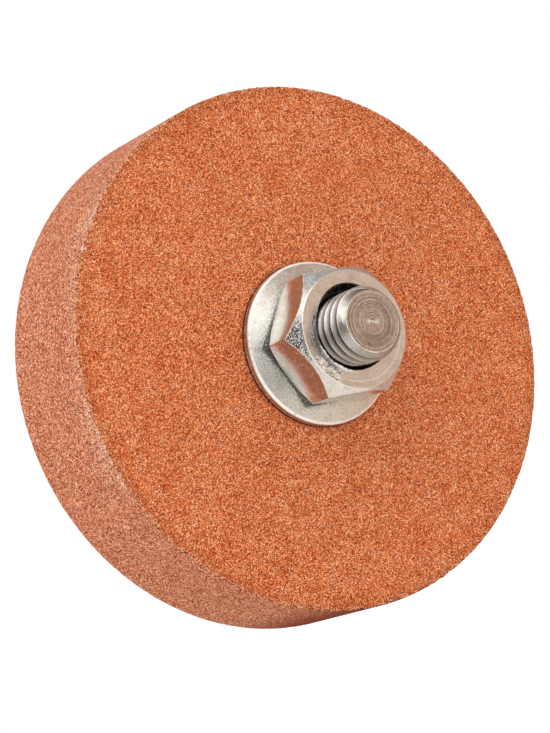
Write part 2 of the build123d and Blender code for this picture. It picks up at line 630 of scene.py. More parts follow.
@dataclass(frozen=True)
class TurnedSteel:
    """Bare steel with the fine rings that a lathe tool leaves around the axis."""

    front_y: float
    tip_y: float
    crest: float

    colour: Colour = (222, 215, 210)
    stained: Colour = (138, 127, 119)
    # The thread's valleys are painted dark: shade, with some oxide.
    valley: Colour = (48, 43, 40)
    # White for the painted highlights.
    highlight_and_bare: Colour = (255, 252, 248)

    ring: float = 0.12 * MM
    ring_drift: float = 0.02 * MM
    pit: float = 0.13 * MM
    patch: float = 0.5 * MM
    blot: float = 0.8 * MM

    end_face: Range = (0.20 * MM, 0.06 * MM)
    behind_face: Range = (0.0, 1 * MM, 0.0, 0.6)
    ring_share: Range = (0.0, 1.0, 0.12, 1.0)
    rings: Range = (0.44, 0.60, 0.0, 0.62)
    blots: Range = (0.42, 0.7, 0.0, 0.22)
    pits: Range = (0.5, 0.7, 0.0, 0.5)
    valleys: Range = (0.08, 0.75, 0.0, 0.94)
    broken_edge: Range = (0.32, 0.55, 0.4, 1.0)
    shine: float = 0.65
    shine_angle: Range = (130, 14, 34)
    on_crest: Range = (-0.12 * MM, -0.03 * MM)
    shine_from: Range = (-5 * MM, -6 * MM)
    metallic: Range = (0.0, 1.0, 0.94, 0.35)
    roughness: Range = (0.3, 0.7, 0.14, 0.26)
    pit_height: float = 0.8
    relief: float = 0.014 * MM

    def turned(self, plan: NodePlan, y: Fed) -> Fed:
        """Finds the end face and all that lies behind the thread, where the tool's rings show."""
        return plan.most(plan.remap(y, *moved(self.end_face, self.tip_y)),
                         plan.remap(y, *moved(self.behind_face, self.front_y)))

    def crest_shine(self, plan: NodePlan, radius: Fed, angle: Fed, y: Fed) -> Fed:
        """Finds where a highlight is painted on the thread's crests, on one side.

        Args:
            plan: The nodes that it adds to.
            radius: The distance from the axis.
            angle: The angle about the axis.
            y: The place along the axis.
        Returns:
            How bright the crests are.
        """
        return plan.times(plan.remap(radius, *moved(self.on_crest, self.crest)),
                          plan.near_angle(angle, self.shine_angle, high=self.shine),
                          plan.remap(y, *moved(self.shine_from, self.front_y)))

    def material(self) -> bpy.types.Material:
        """Builds the finish.

        Returns:
            The material.
        """
        paint = Paint(Slot.TURNED)
        plan, place = paint.plan, paint.place
        radius, angle, y = plan.around_axis(place)
        drift = plan.times(angle, self.ring_drift)
        along = plan.add("ShaderNodeCombineXYZ", {0: radius, 1: y, 2: drift}).outputs[0]
        rings = plan.times(plan.noise(along, self.ring, 3.0),
                           plan.remap(self.turned(plan, y), *self.ring_share))
        blots, pits = plan.noise(place, self.blot, 4.0), plan.noise(place, self.pit)
        marks = plan.plus(plan.remap(blots, *self.blots), plan.remap(pits, *self.pits),
                          plan.remap(rings, *self.rings))
        patch = plan.remap(plan.noise(place, self.patch), *self.broken_edge)
        # Painted highlights on the tip's edges, a patch of its chamfer, the face's centre and the
        # crests.
        highlight_and_bare = plan.most(plan.times(paint.mark("worn"), patch),
                         self.crest_shine(plan, radius, angle, y))
        # Painted shade in the thread's valleys, with some oxide.
        valley = plan.remap(paint.mark("valley"), *self.valleys)
        shade = plan.coats(tint(self.colour), (marks, self.stained), (valley, self.valley),
                           (paint.mark("dull"), self.stained), (highlight_and_bare, self.highlight_and_bare))
        paint.set(Base_Color=shade, Metallic=plan.remap(highlight_and_bare, *self.metallic),
                  Roughness=plan.remap(blots, *self.roughness, "LINEAR"))
        paint.bump(plan.plus(rings, plan.times(pits, self.pit_height)), self.relief)
        return paint.material


@dataclass
class Skin:
    """Rings of points about the Y axis, which close into a mesh.

    The rings hold a radius and a distance ahead for every ring and angle, and a further value says
    how bright a highlight is painted at each point. Marks are the values that the finish reads, by
    name. Where the last ring doesn't join the first, both ends close at a pole.
    """

    rings: np.ndarray
    angles: np.ndarray
    closed: bool
    worn: np.ndarray
    marks: dict[str, np.ndarray] = field(default_factory=dict)

    def __post_init__(self) -> None:
        """Names the two values of a point, and works out its angle in degrees."""
        self.radius, self.ahead = self.rings[..., 0], self.rings[..., 1]
        self.turn = np.broadcast_to(np.degrees(self.angles) % 360, self.radius.shape)

    def arc(self, arc: Arc) -> np.ndarray:
        """Is 1 in the middle of an arc and 0 outside it, also where the arc starts below 0."""
        turn = self.turn if arc[0] >= 0 else (self.turn + 180) % 360 - 180
        return fade(turn, arc[0], arc[1]) * fade(turn, arc[3], arc[2])

    def listed(self, values: np.ndarray) -> np.ndarray:
        """Puts the values of the points in the order of the mesh's vertices, poles last.

        Args:
            values: The values, for every ring and angle.
        Returns:
            The values in the mesh's order.
        """
        if self.closed:
            return values.reshape(-1, *values.shape[2:])
        inner = values[1:-1].reshape(-1, *values.shape[2:])
        return np.concatenate([inner, values[:1, 0], values[-1:, 0]])

    def faces(self) -> list[list[int]]:
        """Joins each ring to the next, and closes the ends where they are open.

        Returns:
            The faces, each by the numbers of its vertices.
        """
        index = np.arange(self.radius.size).reshape(self.radius.shape)
        if self.closed:
            lower, upper = index, np.roll(index, -1, axis=0)
        else:
            index = index[:-2]
            lower, upper = index[:-1], index[1:]
        sides = (lower, np.roll(lower, -1, axis=1), np.roll(upper, -1, axis=1), upper)
        faces: list = np.stack(sides, axis=2).reshape(-1, 4).tolist()
        if not self.closed:
            for pole, ring in ((index.size, index[0]), (index.size + 1, index[-1])):
                faces += [[pole, int(a), int(b)] for a, b in zip(ring, np.roll(ring, -1))]
        return faces

    def mesh(self, name: str, front_y: float) -> bpy.types.Object:
        """Makes the mesh.

        Args:
            name: The object's name.
            front_y: The y of the wheel's front face.
        Returns:
            The linked object, at the origin.
        """
        x, z = self.radius * np.cos(self.angles), self.radius * np.sin(self.angles)
        points = self.listed(np.stack([x, front_y - self.ahead, z], axis=2))
        mesh = bpy.data.meshes.new(name)
        mesh.from_pydata(points.tolist(), [], self.faces())
        work = bmesh.new()
        work.from_mesh(mesh)
        bmesh.ops.recalc_face_normals(work, faces=work.faces)
        work.to_mesh(mesh)
        work.free()
        mesh.polygons.foreach_set("use_smooth", [True] * len(mesh.polygons))
        for label, values in self.marks.items():
            attribute = mesh.attributes.new(label, "FLOAT", "POINT")
            attribute.data.foreach_set("value", self.listed(values))
        piece = bpy.data.objects.new(name, mesh)
        bpy.context.collection.objects.link(piece)
        return piece


@dataclass(frozen=True)
class Corner:
    """One corner of a turned section.

    Its radius and its distance ahead may differ around the axis, as on the nut's hexagon. A
    highlight is painted along its bend, as bright as bright says, later in the bend where lean is
    above 1 and over less of it where narrow is above 1.
    """

    radius: Union[float, np.ndarray]
    ahead: Union[float, np.ndarray]
    cut: float = 0.0
    steps: int = 5
    run: int = 1
    bright: float = 0.0
    lean: float = 1.0
    narrow: float = 1.0


class Section:
    """A section that is turned about the Y axis into rings of points."""

    def __init__(self, corners: Sequence[Corner], angles: np.ndarray, closed: bool) -> None:
        """Places the corners at every angle.

        Args:
            corners: The corners in order.
            angles: The angles of a ring's points.
            closed: Whether the last corner joins the first, as round a bore.
        """
        self.corners = corners
        self.angles = angles
        self.closed = closed
        wide = np.ones_like(angles)
        self.places = [np.stack([c.radius * wide, c.ahead * wide], axis=1) for c in corners]

    def bend(self, index: int) -> list[np.ndarray]:
        """Rounds one corner, with a holding ring on each side, or keeps it sharp.

        Args:
            index: The corner's number in the section.
        Returns:
            The rings of the bend, in the section's order.
        """
        corner, here = self.corners[index], self.places[index]
        if not corner.cut:
            return [here]
        before = self.places[index - 1] - here
        after = self.places[(index + 1) % len(self.places)] - here
        before = before / np.linalg.norm(before, axis=1, keepdims=True) * corner.cut
        after = after / np.linalg.norm(after, axis=1, keepdims=True) * corner.cut
        shares = np.linspace(0, 1, corner.steps)
        arc = [here + (1 - t) ** 2 * before + t ** 2 * after for t in shares]
        return [here + HOLD * before, *arc, here + HOLD * after]

    def skin(self) -> Skin:
        """Works out the rings at the corners and between them.

        Returns:
            The rings, with how bright a highlight is painted at each point.
        """
        bends = [self.bend(index) for index in range(len(self.corners))]
        rows: list[np.ndarray] = []
        worn: list[float] = []
        for index, (corner, bend) in enumerate(zip(self.corners, bends)):
            rows.extend(bend)
            shares = np.linspace(0, 1, len(bend)) if len(bend) > 1 else np.array([0.5])
            arch = np.sin(math.pi * shares ** corner.lean) ** corner.narrow
            worn.extend(np.clip(corner.bright * arch, 0, 1))
            if index == len(bends) - 1 and not self.closed:
                break
            start, end, run = bend[-1], bends[(index + 1) % len(bends)][0], corner.run
            rows.extend(start + (end - start) * step / run for step in range(1, run))
            worn.extend([0.0] * (run - 1))
        around = np.repeat(np.array(worn)[:, None], len(self.angles), axis=1)
        return Skin(np.array(rows), self.angles, self.closed, around)


def even_angles(count: int) -> np.ndarray:
    """Spreads a ring's points evenly."""
    return np.arange(count) * FULL_TURN / count


class GrowTree:
    """A Geometry Nodes tree that is built once, run on one piece and turned into plain mesh."""

    def __init__(self, name: str) -> None:
        """Starts the tree with its geometry going in and out.

        Args:
            name: The tree's name.
        """
        self.tree = bpy.data.node_groups.new(name, "GeometryNodeTree")
        self.plan = NodePlan(self.tree)
        for way in ("INPUT", "OUTPUT"):
            self.tree.interface.new_socket(
                "Geometry", in_out=way, socket_type="NodeSocketGeometry")
        self.start = self.plan.add("NodeGroupInput")
        self.end = self.plan.add("NodeGroupOutput")
        self.settings: dict[str, object] = {}

    def size(self, name: str, value: object, kind: str = "NodeSocketFloat") -> Socket:
        """Adds a named input.

        Args:
            name: The input's name.
            value: What the piece sets it to.
            kind: The input's type.
        Returns:
            The input as the tree's nodes read it.
        """
        socket = self.tree.interface.new_socket(name, in_out="INPUT", socket_type=kind)
        self.settings[socket.identifier] = value
        return self.start.outputs[name]

    def finish(self, kind: str, fed: dict, material: bpy.types.Material) -> None:
        """Ends the tree with a last node that moves the points, and one material.

        Args:
            kind: The last node's type.
            fed: What goes into its sockets, by name.
            material: The piece's finish.
        """
        moved_points = self.plan.add(kind, fed).outputs[0]
        real = self.plan.add("GeometryNodeRealizeInstances", {0: moved_points}).outputs[0]
        coat = self.size("Finish", material, "NodeSocketMaterial")
        painted = self.plan.add("GeometryNodeSetMaterial", {"Geometry": real, "Material": coat})
        self.plan.feed(self.end.inputs[0], painted.outputs[0])

    def grow(self, piece: bpy.types.Object) -> None:
        """Runs the tree on a piece and keeps the result as the piece's own mesh.

        Args:
            piece: The piece, whose mesh is changed.
        """
        modifier = piece.modifiers.new(self.tree.name, "NODES")
        modifier.node_group = self.tree
        for identifier, value in self.settings.items():
            modifier[identifier] = value
        seen = piece.evaluated_get(bpy.context.evaluated_depsgraph_get())
        grown = bpy.data.meshes.new_from_object(seen)
        grown.name = piece.name
        piece.modifiers.remove(modifier)
        piece.data = grown


def keep(piece: bpy.types.Object, slot: Slot, node: str) -> None:
    """Fixes a finished piece to the part.

    Args:
        piece: The finished piece.
        slot: The record's slot that it takes its finish from.
        node: The node that it stands for.
    """
    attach(piece, BODY)
    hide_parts(node)
    triangles = sum(len(face.vertices) - 2 for face in piece.data.polygons)
    log.info("%s: %d triangles, slot %s", piece.name, triangles, slot.value)


@dataclass
class GrindingWheel:
    """The bonded wheel, with its grainy skin and the chips along its ridges."""

    bore: float = 5.1 * MM
    bore_chamfer: float = 0.6 * MM
    ridge_cut: float = 0.12 * MM
    around: int = 720
    grain: float = 0.42 * MM
    relief: float = 0.026 * MM
    rim_relief: Range = (-0.02 * MM, -0.25 * MM, 0.3, 1.0)
    chip_size: float = 0.34 * MM
    chip_depth: float = 0.30 * MM
    chip_reach: float = 0.40 * MM
    chips: Range = (0.44, 0.66, 0.0, 1.0)
    back_chips: Range = (0.3 * MM, 3 * MM, 1.0, 0.10)
    chipped_angle: Range = (160, 50, 75)
    far_share: float = 0.35

    def __post_init__(self) -> None:
        """Reads the wheel's outer sizes from the frame."""
        low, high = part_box("grinding_wheel")
        self.rim = float(high[0])
        self.front_y, self.back_y = float(low[1]), float(high[1])
        self.thickness = self.back_y - self.front_y

    def body(self) -> bpy.types.Object:
        """Turns the plain disc with fine rings, closest on the sides that are seen.

        Returns:
            The plain wheel.
        """
        inner = self.bore + self.bore_chamfer
        corners = [
            Corner(self.bore, -self.bore_chamfer),
            Corner(inner, 0, run=50),
            Corner(self.rim, 0, cut=self.ridge_cut, run=42),
            Corner(self.rim, -self.thickness, cut=self.ridge_cut, run=26),
            Corner(inner, -self.thickness),
            Corner(self.bore, -self.thickness + self.bore_chamfer, run=3),
        ]
        skin = Section(corners, even_angles(self.around), closed=True).skin()
        return skin.mesh("bonded_wheel", self.front_y)

    def roughen(self, piece: bpy.types.Object, material: bpy.types.Material) -> None:
        """Sinks the skin between the grains and breaks chips out of both ridges.

        Args:
            piece: The piece, whose mesh is changed.
            material: The piece's finish.
        """
        grower = GrowTree("bonded_skin")
        plan = grower.plan
        relief = grower.size("Relief", self.relief)
        depth = grower.size("Chip depth", self.chip_depth)
        place = plan.add("GeometryNodeInputPosition").outputs[0]
        radius, angle, y = plan.around_axis(place)
        on_face = plan.remap(radius, *moved(self.rim_relief, self.rim))
        skin = plan.times(plan.noise(place, self.grain, 1.0), plan.times(relief, on_face))
        from_front = plan.apart(y, self.front_y)
        from_face = plan.math("MINIMUM", from_front, plan.apart(y, self.back_y))
        from_ridge = plan.plus(from_face, plan.minus(self.rim, radius))
        near = plan.times(
            plan.remap(from_ridge, 0.0, self.chip_reach, 1.0, 0.0, "LINEAR"),
            plan.remap(from_front, *self.back_chips),
            plan.near_angle(plan.math("ABSOLUTE", angle), self.chipped_angle, self.far_share))
        chips = plan.remap(plan.noise(place, self.chip_size), *self.chips, "LINEAR")
        inward = plan.times(plan.plus(skin, plan.times(near, chips, depth)), -1.0)
        offset = plan.scale(plan.add("GeometryNodeInputNormal").outputs[0], inward)
        fed = {"Geometry": grower.start.outputs[0], "Offset": offset}
        grower.finish("GeometryNodeSetPosition", fed, material)
        grower.grow(piece)

    def build(self) -> None:
        """Makes the wheel and keeps it in the frame's place."""
        piece = self.body()
        finish = BondedAbrasive(rim_radius=self.rim, front_y=self.front_y, back_y=self.back_y)
        self.roughen(piece, finish.material())
        keep(piece, Slot.BONDED, "grinding_wheel")


@dataclass
class FlangeNut:
    """The hexagon nut with its own conical flange, and a groove between the two."""

    flat: float = 6.5 * MM
    corner_radius: float = 0.25 * MM
    groove: float = 6.3 * MM
    foot_angle: float = math.radians(35)
    top_face: float = 6.2 * MM
    cone_angle: float = math.radians(52)
    rim_height: float = 0.95 * MM
    flange_slope: float = math.radians(24.5)
    under_edge: float = 0.16 * MM
    bore: float = 3.95 * MM
    mouth: float = 4.62 * MM
    mouth_edge: tuple[Pair, ...] = (
        (20, 4.64), (43, 4.76), (58, 4.84), (72, 4.87), (86, 4.83), (101, 4.72), (116, 4.61),
        (132, 4.51), (147, 4.43), (162, 4.38), (190, 4.37), (214, 4.38), (231, 4.30), (247, 4.22),
        (262, 4.20), (275, 4.22), (300, 4.30), (330, 4.44), (350, 4.54),
    )
    flat_steps: int = 84
    bend_steps: int = 13

    def __post_init__(self) -> None:
        """Reads the nut's outer sizes from the frame."""
        low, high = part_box("flange_nut")
        self.flange = float(high[0])
        self.front_y = float(high[1])
        self.height = float(high[1] - low[1])
        middle = self.flat - self.corner_radius
        self.flat_edge = math.atan(middle * math.tan(SECTOR / 2) / self.flat)
        self.groove_height = (
            self.rim_height + (self.flange - self.groove) * math.tan(self.flange_slope))

    def angles(self) -> np.ndarray:
        """Places the points of a ring, closer together at the six corners.

        Returns:
            The angles of a ring.
        """
        flat = np.linspace(-self.flat_edge, self.flat_edge, self.flat_steps)
        bend = np.linspace(self.flat_edge, SECTOR - self.flat_edge, self.bend_steps)[1:-1]
        sector = np.concatenate([flat, bend])
        return np.concatenate([sector + side * math.pi / 3 for side in range(6)])

    def hexagon(self, angles: np.ndarray) -> np.ndarray:
        """Works out the hexagon's radius at each angle, with its corners rounded.

        Args:
            angles: The angles of a ring's points.
        Returns:
            The radius at each angle.
        """
        from_flat = np.abs((angles + SECTOR / 2) % SECTOR - SECTOR / 2)
        straight = self.flat / np.cos(from_flat)
        middle = (self.flat - self.corner_radius) / math.cos(SECTOR / 2)
        from_corner = SECTOR / 2 - from_flat
        under = np.clip(self.corner_radius ** 2 - (middle * np.sin(from_corner)) ** 2, 0, None)
        bent = middle * np.cos(from_corner) + np.sqrt(under)
        return np.where(from_flat > self.flat_edge, bent, straight)

    def foot(self, side: np.ndarray) -> np.ndarray:
        """Works out how far ahead the hexagon starts, at the cone under its corners."""
        return self.groove_height + (side - self.groove) * math.tan(self.foot_angle)

    def shoulder(self, side: np.ndarray) -> np.ndarray:
        """Works out how far ahead the hexagon ends, at the turned cone."""
        return self.height - (side - self.top_face) * math.tan(self.cone_angle)

    def lip(self, angles: np.ndarray) -> np.ndarray:
        """Works out the bore's mouth, which wear has widened towards one side."""
        turns, radii = zip(*self.mouth_edge)
        return np.interp(np.degrees(angles) % 360, turns, radii, period=360) * MM

    def body(self) -> bpy.types.Object:
        """Builds the nut's skin from its section, which follows the hexagon around the axis.

        Returns:
            The nut, still without its finish.
        """
        angles = self.angles()
        side, lip = self.hexagon(angles), self.lip(angles)
        # Where bright is set, a highlight is painted along the bend.
        corners = [
            Corner(self.bore, self.mouth - self.bore),
            Corner(self.mouth, 0, run=3),
            Corner(self.flange - self.under_edge * 1.6, 0),
            Corner(self.flange, self.under_edge, cut=0.06 * MM),
            Corner(self.flange, self.rim_height, cut=0.40 * MM, steps=13, run=24,
                   bright=1.5, lean=1.7, narrow=3),
            Corner(self.groove, self.groove_height, cut=0.08 * MM, run=3),
            Corner(side, self.foot(side), cut=0.06 * MM, run=9, bright=0.85),
            Corner(side, self.shoulder(side), cut=0.07 * MM, steps=6, run=9, bright=0.85),
            Corner(self.top_face, self.height, cut=0.06 * MM, steps=4, run=26, bright=0.75),
            Corner(lip, self.height, cut=0.06 * MM, steps=4, run=3, bright=0.5),
            Corner(lip - 0.05 * MM, self.height - 0.35 * MM, run=2),
            Corner(self.bore, self.height - 1.1 * MM, run=7),
        ]
        skin = Section(corners, angles, closed=True).skin()
        NutMarks(self, skin).leave()
        return skin.mesh("dressed_nut", self.front_y)

    def build(self) -> None:
        """Makes the nut and keeps it in the frame's place."""
        piece = self.body()
        finish = ZincPlate(front_y=self.front_y, top=self.height, top_face=self.top_face,
                           cone_angle=self.cone_angle)
        piece.data.materials.append(finish.material())
        keep(piece, Slot.ZINC, "flange_nut")


@dataclass
class NutMarks:
    """What use, dirt and age have left on the nut, and the shade and highlights painted on it.
    Every mark is a value from 0 to 1.

    A pair of lengths is where a mark starts to fade in and where it is full: up from the flange's
    rim where its name begins with rim, below the top face where it begins with top, out from the
    axis where it begins with out, and otherwise ahead. What bell takes is a middle and a width.
    """

    nut: FlangeNut
    skin: Skin

    foot_lean: float = math.pi / 12
    flank_shares: Pair = (0.25, 0.65)
    near_edge: Arc = (78, 105, 205, 255)
    lower_edge: Arc = (200, 240, 285, 325)
    edge_shares: Pair = (0.15, 0.25)
    edge_depth: float = 0.12 * MM

    dull_upper: Arc = (-30, 10, 66, 98)
    dull_lower: Arc = (-118, -92, -50, -25)
    dull_shares: Pair = (0.92, 0.70)
    top_dull: Range = (0.02 * MM, 0.10 * MM)
    top_dull_end: Range = (2.2 * MM, 1.9 * MM)

    rugged_corner: Arc = (128, 142, 168, 192)
    rugged_upper: Arc = (66, 82, 104, 122)
    rugged_shares: Pair = (0.04, 0.35)

    # Where shade is painted: in the bore, at the hexagon's foot and along the rim's edge.
    top_bore: Range = (0.08 * MM, 0.24 * MM)
    seam_arc: Arc = (96, 128, 214, 246)
    seam_width: float = 0.08 * MM
    seam_share: float = 0.75
    rim_seam: Range = (1.35 * MM, 1.20 * MM)
    edge_line: Pair = (0.62 * MM, 0.07 * MM)
    line_arc: Arc = (98, 128, 236, 262)
    line_shares: Pair = (0.35, 0.95)
    under_rim: Range = (0.62 * MM, 0.50 * MM)
    under_share: float = 0.12

    # Where dirt and painted shade darken the flange around the hexagon's foot.
    grime_shade_arc: Arc = (88, 118, 206, 246)
    grime_shade_shares: Pair = (0.32, 0.55)
    grime_shade_reach: Pair = (0.34 * MM, 0.30 * MM)
    grime_shade_corner: Pair = (150, 9)
    grime_shade_fall: float = 1.3
    rim_grime_shade: Range = (1.6 * MM, 1.2 * MM)

    top_wear: Range = (0.5 * MM, 0.2 * MM)
    bevel_arc: Arc = (116, 146, 192, 208)
    bevel_start: float = 5.02
    bevel_more: float = 0.10
    bevel_widens: Range = (145, 170)
    bevel_width: float = 1.0 * MM
    bevel_slope: float = 0.40
    bevel_full: float = 0.35 * MM
    bevel_dull: float = 0.75
    scratch: Pair = (5.5 * MM, 0.05 * MM)
    scratch_turn: Range = (205, 225)
    scratch_height: float = 0.02 * MM
    scratch_share: float = 0.8
    lip_arc: Arc = (155, 175, 214, 232)
    lip_line: Pair = (0.12 * MM, 0.12 * MM)
    lip_waves: Pair = (17, 31)
    lip_shares: Pair = (0.65, 0.35)
    lip_height: float = 0.27 * MM
    lip_bright: float = 1.6
    # A stretch of the top face with a painted highlight.
    ring_highlight_turn: Range = (285, 315)
    ring_highlight_width: float = 0.2 * MM
    ring_highlight_share: float = 0.22
    bright_corner: Arc = (248, 266, 312, 338)
    bright_share: float = 0.45
    top_bright: Range = (2.0 * MM, 1.8 * MM)

    burr_arc: Arc = (170, 180, 205, 214)
    out_burr: Range = (4.7 * MM, 5.0 * MM)
    out_burr_end: Range = (6.5 * MM, 6.1 * MM)
    burr_share: float = 0.30
    burr_size: float = 0.62 * MM
    burr_detail: Pair = (2.9, 0.35)
    fold_width: float = 0.09
    burr_heights: Pair = (0.12, 0.11)
    fold_bright: float = 2.2
    least_burr: float = 0.02

    def __post_init__(self) -> None:
        """Works out what the marks are measured from."""
        self.radius, self.ahead, self.arc = self.skin.radius, self.skin.ahead, self.skin.arc
        self.side = self.nut.hexagon(self.skin.angles)
        self.lip = self.nut.lip(self.skin.angles)
        self.from_foot = np.abs(self.radius - self.side) * np.cos(self.foot_lean)
        self.on_top = self.below_top(self.top_wear)

    def below_top(self, depths: Range) -> np.ndarray:
        """Fades in between two depths below the top face."""
        return fade(self.ahead, self.nut.height - depths[0], self.nut.height - depths[1])

    def above_rim(self, heights: Range) -> np.ndarray:
        """Fades in between two heights above the flange's rim."""
        return fade(self.ahead, *moved(heights, self.nut.rim_height))

    def leave(self) -> None:
        """Leaves every mark on the nut's skin, the ones that move its points last."""
        marks = {"recess": self.recess(), "gap": self.gap(), "rugged": self.rugged(),
                 "flank": self.flank(), "worn": self.skin.worn * self.kept_edge()}
        dull = self.dull()
        bevel = self.bevel()
        marks["dull"] = np.maximum(dull, self.bevel_dull * bevel)
        marks["scraped"] = self.scraped()
        self.skin.marks.update(marks)

    def flank(self) -> np.ndarray:
        """Finds the upper part of the hexagon's flat sides, up to the turned cone, where shade is
        painted and the finish is smoother.

        Returns:
            The mark, for every ring and angle.
        """
        foot, shoulder = self.nut.foot(self.side), self.nut.shoulder(self.side)
        start, end = (foot + share * (shoulder - foot) for share in self.flank_shares)
        below = fade(self.ahead, shoulder + 0.02 * MM, shoulder - 0.02 * MM)
        share = fade(self.ahead, start, end) * below
        return np.where(self.radius > self.side - 0.03 * MM, share, 0.0)

    def kept_edge(self) -> np.ndarray:
        """Says how much of the painted highlight on the top face's edge is kept, which is less on
        the far side.

        Returns:
            The share of the brightness kept.
        """
        least, below = self.edge_shares
        worn = np.maximum(self.arc(self.near_edge), below * self.arc(self.lower_edge))
        at_top = self.ahead > self.nut.height - self.edge_depth
        return np.where(at_top, least + (1 - least) * worn, 1.0)

    def dull(self) -> np.ndarray:
        """Finds where the turned cone has lost its shine, on the far side of the nut.

        Returns:
            The mark, for every ring and angle.
        """
        upper, lower = self.dull_shares
        cone = self.below_top(self.top_dull) * self.below_top(self.top_dull_end)
        share = upper * self.arc(self.dull_upper) + lower * self.arc(self.dull_lower)
        return np.where(self.radius > self.nut.top_face - 0.05 * MM, cone * share, 0.0)

    def rugged(self) -> np.ndarray:
        """Says how rough the turned cone is, which is rougher on one side of the nut.

        Returns:
            The mark, for every ring and angle.
        """
        least, upper = self.rugged_shares
        rough = np.maximum(self.arc(self.rugged_corner), upper * self.arc(self.rugged_upper))
        return least + (1 - least) * rough

    def gap(self) -> np.ndarray:
        """Finds where shade is painted: on the bore's wall inside, along the hexagon's foot and
        along the rim's edge.

        Returns:
            The mark, for every ring and angle.
        """
        seam = np.where(self.radius < self.side, 1.0, bell(self.from_foot, 0, self.seam_width))
        seam = self.seam_share * (seam * self.above_rim(self.rim_seam)) * self.arc(self.seam_arc)
        least, most = self.line_shares
        side = least + (1 - least) * self.arc(self.line_arc)
        under = np.maximum(most * bell(self.ahead, *self.edge_line) * side,
                           self.under_share * fade(self.ahead, *self.under_rim))
        inside = np.where(self.radius < self.lip + 0.01 * MM, self.below_top(self.top_bore), 0.0)
        outside = self.radius > self.nut.groove - 0.01 * MM
        return np.where(outside, np.maximum(under, seam), inside)

    def recess(self) -> np.ndarray:
        """Finds where dirt and painted shade darken the flange around the hexagon's foot.

        Returns:
            The mark, for every ring and angle.
        """
        least, more = self.grime_shade_shares
        short, longer = self.grime_shade_reach
        reach = short + longer * bell(self.skin.turn, *self.grime_shade_corner)
        near = np.exp(-(self.from_foot / reach) ** self.grime_shade_fall)
        near = np.where(self.radius < self.side, 1.0, near)
        return near * self.above_rim(self.rim_grime_shade) * (least + more * self.arc(self.grime_shade_arc))

    def bevel(self) -> np.ndarray:
        """Wears a slope around one side of the bore, and says where it lies.

        Returns:
            Where the slope lies, from 0 to 1.
        """
        arc = self.arc(self.bevel_arc)
        start = (self.bevel_start + self.bevel_more * fade(self.skin.turn, *self.bevel_widens)) * MM
        slope = np.clip(start - self.radius, 0, self.bevel_width) * self.on_top
        self.ahead -= arc * slope * self.bevel_slope
        return arc * fade(slope, 0, self.bevel_full)

    def ragged_lip(self) -> np.ndarray:
        """Finds the burred line beside the bore's mouth.

        Returns:
            How high the line stands, from 0 to 1.
        """
        turn = np.radians(self.skin.turn)
        first, second = (turn * waves for waves in self.lip_waves)
        even, uneven = self.lip_shares
        lip = self.arc(self.lip_arc) * self.on_top
        lip = lip * (even + uneven * np.sin(first) * np.sin(second + 1))
        return lip * bell(self.radius - self.lip, *self.lip_line)

    def scraped(self) -> np.ndarray:
        """Raises burrs, scratches the top face, and says how far each point is whitened where it is
        scraped clean, and where a highlight is painted on a stretch of the top face.

        Returns:
            The mark, for every ring and angle.
        """
        radius, turn, top_face = self.radius, self.skin.turn, self.nut.top_face
        line = bell(radius, *self.scratch) * self.on_top * fade(turn, *self.scratch_turn)
        self.ahead -= self.scratch_height * line
        burr = self.arc(self.burr_arc) * fade(radius, *self.out_burr)
        burr = burr * fade(radius, *self.out_burr_end) * self.on_top
        lip = self.ragged_lip()
        self.ahead += self.lip_height * lip
        # A painted highlight on a stretch of the top face.
        ring_highlight = fade(turn, *self.ring_highlight_turn) * self.on_top * (radius < top_face)
        ring_highlight = ring_highlight * fade(radius, self.lip, self.lip + self.ring_highlight_width)
        corner = self.arc(self.bright_corner) * (radius > top_face)
        corner = corner * self.below_top(self.top_bright)
        scraped = np.maximum.reduce([
            np.clip(self.lip_bright * lip, 0, 1), self.scratch_share * line,
            self.burr_share * burr, self.ring_highlight_share * ring_highlight, self.bright_share * corner])
        self.crumple(burr, scraped)
        return scraped

    def crumple(self, burr: np.ndarray, scraped: np.ndarray) -> None:
        """Folds the burred patch of the top face and brightens its folds.

        Args:
            burr: How burred each point is.
            scraped: How far each point is scraped bare, which is changed in place.
        """
        finer, fine_share = self.burr_detail
        swell, crease = self.burr_heights
        for ring, step in zip(*np.nonzero(burr > self.least_burr)):
            out, angle, share = self.radius[ring, step], self.skin.angles[step], burr[ring, step]
            place = Vector((out * math.cos(angle), 0.0, out * math.sin(angle))) / self.burr_size
            value = noise.noise(place) + fine_share * noise.noise(place * finer)
            fold = max(0.0, 1 - abs(value) / self.fold_width)
            self.ahead[ring, step] += share * MM * (swell * value + crease * fold)
            bright = min(self.fold_bright * share * fold, 1)
            scraped[ring, step] = max(scraped[ring, step], bright)


